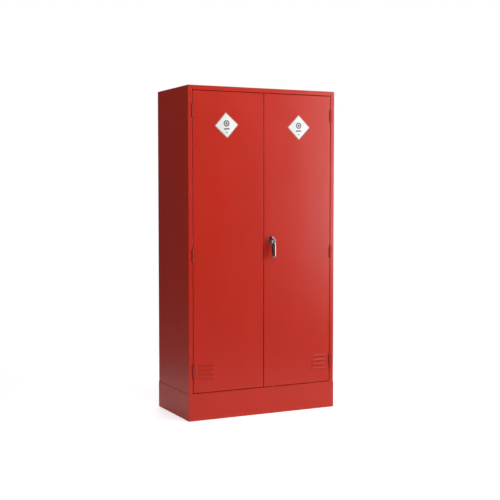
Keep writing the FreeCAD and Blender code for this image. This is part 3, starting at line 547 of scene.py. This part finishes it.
# ---------------------------------------------------------------- labels and buffers
def printed_vinyl(name):
    """White vinyl with a plain printed pattern in its own UV map, upright on the diamond: a thin
    border, a ring round a disc, a bar and a dot."""
    f = Finish(name, Coat_Weight=0.15, Coat_Roughness=0.2)
    uv = f.node("ShaderNodeSeparateXYZ", {0: f.node("ShaderNodeUVMap", uv_map="print").outputs[0]})
    a = f.math("MULTIPLY", f.math("SUBTRACT", uv.outputs[0], 0.5), 2.0)
    b = f.math("MULTIPLY", f.math("SUBTRACT", uv.outputs[1], 0.5), 2.0)
    wide, tall = f.math("ABSOLUTE", a), f.math("ABSOLUTE", b)

    def inside(value, limit, soft=0.012):
        return f.ramp(value, limit - soft, limit + soft, 1.0, 0.0)

    def from_point(height):
        up = f.math("SUBTRACT", b, height)
        return f.math("SQRT", f.math("ADD", f.math("MULTIPLY", a, a), f.math("MULTIPLY", up, up)))

    rim = inside(f.math("ABSOLUTE", f.math("SUBTRACT", f.math("ADD", wide, tall), 0.955)), 0.020)
    centre = from_point(0.14)
    circle = inside(f.math("ABSOLUTE", f.math("SUBTRACT", centre, 0.20)), 0.048)
    disc = inside(centre, 0.095)
    from_bar = f.math("ABSOLUTE", f.math("ADD", b, 0.28))
    low_bar = f.math("MULTIPLY", inside(wide, 0.24), inside(from_bar, 0.050))
    dot = inside(from_point(-0.56), 0.055)
    ink = f.math("MAXIMUM", f.math("MAXIMUM", rim, circle),
                 f.math("MAXIMUM", disc, f.math("MAXIMUM", low_bar, dot)))
    patchy = f.math("MULTIPLY", ink, f.ramp(f.noise(900.0, detail=2.0), 0.25, 0.5, 0.72, 0.95))
    paper = f.mix(f.ramp(f.noise(40.0), 0.35, 0.7), (0.93, 0.93, 0.92), (0.88, 0.88, 0.86))
    # Towards its outer edges the label's colour darkens to a brownish grey.
    edge_darkening = f.ramp(f.math("ADD", wide, tall), 0.965, 1.0, 0.0, 0.45)
    colour = f.mix(edge_darkening, f.mix(patchy, paper, (0.030, 0.030, 0.034)), (0.40, 0.30, 0.28))
    f.bump(f.noise(60.0, detail=2.0), 0.00025)
    f.bump(f.noise(1800.0), 0.00002)
    return f.done(colour, f.ramp(f.noise(120.0), 0.3, 0.7, 0.30, 0.42))


def make_label(side):
    """A square on its corner with small rounded corners: an outline ring at the back, one at the
    front and one drawn in a little, where each point is the corner arc's or lies on a side."""
    node = f"label_{HANDS[side]}"
    low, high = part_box(node)
    points = np.empty((len(frame["nodes"][node].data.vertices), 3), np.float32)
    frame["nodes"][node].data.vertices.foreach_get("co", points.ravel())
    middle = np.array([(low.x + high.x) / 2, (low.z + high.z) / 2])
    top = points[np.argmax(points[:, 2])][[0, 2]] - middle
    half_diagonal = float(np.hypot(*top))
    right = np.array([top[1], -top[0]]) / half_diagonal
    up = top / half_diagonal
    half, corner, steps = half_diagonal / math.sqrt(2), 3.0 * MM, 7
    rings = []
    for y, inset in ((high.y, 0.0), (low.y + 0.1 * MM, 0.0), (low.y, 0.25 * MM)):
        outline = []
        for turn in range(4):
            bend_at = (half - corner) * np.array([(1, 1), (-1, 1), (-1, -1), (1, -1)][turn])
            outline.append(arc(bend_at, corner - inset, 90 * turn, 90 * turn + 90, steps))
        flat = np.vstack(outline)
        diamond = (flat @ np.array([[1, 1], [-1, 1]])) / math.sqrt(2)
        spot = middle + diamond[:, :1] * right + diamond[:, 1:] * up
        rings.append(facing_ring(spot[:, 0], y, spot[:, 1]))
    solid = ring_solid(np.stack(rings))
    piece = put_in_place(f"vinyl_label_{HANDS[side]}", [solid], sharp_angle=60)
    mesh = piece.data
    corners = np.empty(len(mesh.loops), np.int32)
    mesh.loops.foreach_get("vertex_index", corners)
    place = np.empty((len(mesh.vertices), 3), np.float32)
    mesh.vertices.foreach_get("co", place.ravel())
    flat = place[corners][:, [0, 2]] - middle
    uv = np.stack([flat @ right, flat @ up], axis=1) / half_diagonal / 2 + 0.5
    mesh.uv_layers.new(name="print").data.foreach_set("uv", uv.ravel().astype(np.float32))
    return dress(piece, vinyl, BODY_OF[node], "vinyl", node)


def make_buffers():
    """Four rubber buttons with a flat foot and a domed face."""
    low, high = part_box("door_buffers")
    radius, reach = 4.0, (high.y - low.y) / MM
    profile = [(radius, 0.0), (radius, 0.45 * reach)]
    profile += [(radius * math.cos(a) * 0.98, reach * (0.45 + 0.55 * math.sin(a)))
                for a in np.radians(np.linspace(12, 84, 8))]
    solids = [ring_solid(lathe(np.array(profile) * MM, (x, high.y, z), (0, -1, 0), 48))
              for x in (low.x + radius * MM, high.x - radius * MM)
              for z in (low.z + radius * MM, high.z - radius * MM)]
    piece = put_in_place("domed_buffers", solids)
    return dress(piece, rubber, BODY_OF["door_buffers"], "black_rubber", "door_buffers")


vinyl = printed_vinyl("printed_vinyl")
for side in (LEFT, RIGHT):
    make_label(side)
make_buffers()


# ---------------------------------------------------------------- studio
def studio_floor():
    """A round pale sheet on the floor that thins out to nothing at its rim."""
    rim, solid = 2.4, 0.75
    rows, columns = 12, 96
    t = np.linspace(0, 2 * math.pi, columns, endpoint=False)
    r = np.linspace(0.2, rim, rows)[:, None]
    rings = np.stack([r * np.cos(t), r * np.sin(t), np.zeros((rows, columns))], axis=-1)
    points = np.vstack([rings.reshape(-1, 3), [[0, 0, 0]]])
    faces = grid_faces(rows, columns, True)[:, ::-1].tolist()
    faces += [[rows * columns, c, (c + 1) % columns] for c in range(columns)]
    floor = put_in_place("studio_floor", [(points, faces)], smooth=False)
    f = Finish("pale_floor", Specular_IOR_Level=0.1)
    f.shader.inputs["Emission Color"].default_value = (1.0, 1.0, 1.0, 1.0)
    colour = f.mix(f.noise(3.0), (0.80, 0.80, 0.80), (0.82, 0.82, 0.82))
    straight = f.node("ShaderNodeLightPath").outputs["Is Camera Ray"]
    f.feed(f.shader.inputs["Emission Strength"], f.ramp(straight, 0.0, 1.0, 0.05, 0.62))
    away = f.node("ShaderNodeVectorMath", {0: f.where}, operation="LENGTH").outputs["Value"]
    f.feed(f.shader.inputs["Alpha"], f.ramp(away, solid, rim - 0.1, 1.0, 0.0))
    floor.data.materials.append(f.done(colour, f.ramp(f.noise(40.0), 0.3, 0.7, 0.55, 0.65)))


def soft_light(name, place, aim, size, power):
    """A rectangular soft light at a place, turned to a point."""
    data = bpy.data.lights.new(name, "AREA")
    data.shape = "RECTANGLE"
    data.size, data.size_y = size
    data.energy = power
    lamp = bpy.data.objects.new(name, data)
    bpy.context.scene.collection.objects.link(lamp)
    lamp.location = place
    away = lamp.location - type(lamp.location)(aim)
    lamp.rotation_euler = away.to_track_quat("Z", "Y").to_euler()
    return lamp


SOFT_LIGHTS = {
    "key": ((3.6, -3.3, 1.9), (0, -0.2, 0.9), (2.2, 2.8), 82.0),
    "key_low": ((3.6, -3.3, 0.8), (0, -0.2, 0.9), (2.2, 1.2), 20.0),
    "key_near": ((2.3, -2.3, 1.2), (0, -0.2, 0.9), (1.4, 2.2), 3.0),
    "overhead": ((0.2, -0.9, 4.2), (0, -0.2, 0), (5.0, 4.0), 16.0),
    "over_front": ((0.4, -3.6, 3.6), (0, -0.2, 0.8), (6.0, 3.4), 120.0),
    "left": ((-4.2, -1.6, 2.4), (0, 0, 1.0), (2.0, 2.4), 40.0),
    "behind": ((1.6, 4.4, 2.4), (0, 0.2, 0.9), (4.0, 3.0), 110.0),
}

# Seen at a shallow angle from behind, this light would mirror in the top and wash it out.
OUT_OF_THE_SHEEN = {"over_front"}

# Each glow of the room: the way it lies, where it starts and is full along that way (as the
# dot product with a unit direction), and its strength. The two floor glows hold only below
# the line where the room's floor meets its walls.
ROOM_GLOWS = {
    "back_left": ((-0.5, 0.85, 0.1), 0.3, 0.9, 0.068),
    "floor_front": ((0.35, -0.93, 0.0), -0.3, 0.3, 0.42),
    "floor_back": ((-0.35, 0.93, 0.0), -0.3, 0.3, 0.12),
}
FLOOR_LINE = (-0.122, -0.148)


def studio_world(glows):
    """White where it is seen straight, and a soft room in the light and the reflections."""
    world = bpy.data.worlds.new("studio")
    bpy.context.scene.world = world
    world.use_nodes = True
    nodes, links = world.node_tree.nodes, world.node_tree.links
    nodes.clear()

    def add(kind, inputs, **settings):
        made = nodes.new(kind)
        for key, value in settings.items():
            setattr(made, key, value)
        for key, value in inputs.items():
            if isinstance(value, bpy.types.NodeSocket):
                links.new(value, made.inputs[key])
            else:
                made.inputs[key].default_value = value
        return made

    direction = add("ShaderNodeTexCoord", {}).outputs["Generated"]

    def rise(way, start, full, strength):
        along = add("ShaderNodeVectorMath", {0: direction, 1: way}, operation="DOT_PRODUCT")
        return add("ShaderNodeMapRange", {
            "Value": along.outputs["Value"],
            "From Min": start, "From Max": full, "To Max": strength,
        }, interpolation_type="SMOOTHSTEP").outputs[0]

    below = rise((0.0, 0.0, -1.0), -FLOOR_LINE[0], -FLOOR_LINE[1], 1.0)
    total = 0.0
    for name, (way, start, full, strength) in glows.items():
        glow = rise(way, start, full, strength)
        if name.startswith("floor"):
            glow = add("ShaderNodeMath", {0: glow, 1: below}, operation="MULTIPLY").outputs[0]
        total = add("ShaderNodeMath", {0: glow, 1: total}, operation="ADD").outputs[0]
    seen = add("ShaderNodeBackground", {"Color": (1.0, 1.0, 1.0, 1.0)})
    lit = add("ShaderNodeBackground", {"Strength": total})
    straight = add("ShaderNodeLightPath", {}).outputs["Is Camera Ray"]
    both = add("ShaderNodeMixShader", {0: straight, 1: lit.outputs[0], 2: seen.outputs[0]})
    add("ShaderNodeOutputWorld", {"Surface": both.outputs[0]})


def studio_camera():
    """Standing at the front left, at two thirds of the cabinet's height, looking slightly
    down."""
    data = bpy.data.cameras.new("camera")
    data.lens = 72.8
    data.sensor_width = 36.0
    camera = bpy.data.objects.new("camera", data)
    bpy.context.scene.collection.objects.link(camera)
    camera.location = (-2.563, -5.2775, 1.253)
    camera.rotation_euler = (math.radians(90 - 3.27), 0.0, math.radians(-26.13))
    bpy.context.scene.camera = camera


studio_floor()
studio_world(ROOM_GLOWS)
studio_camera()
for name, (place, aim, size, power) in SOFT_LIGHTS.items():
    soft_light(name, place, aim, size, power).visible_glossy = name not in OUT_OF_THE_SHEEN
bpy.context.scene.view_settings.view_transform = "Standard"
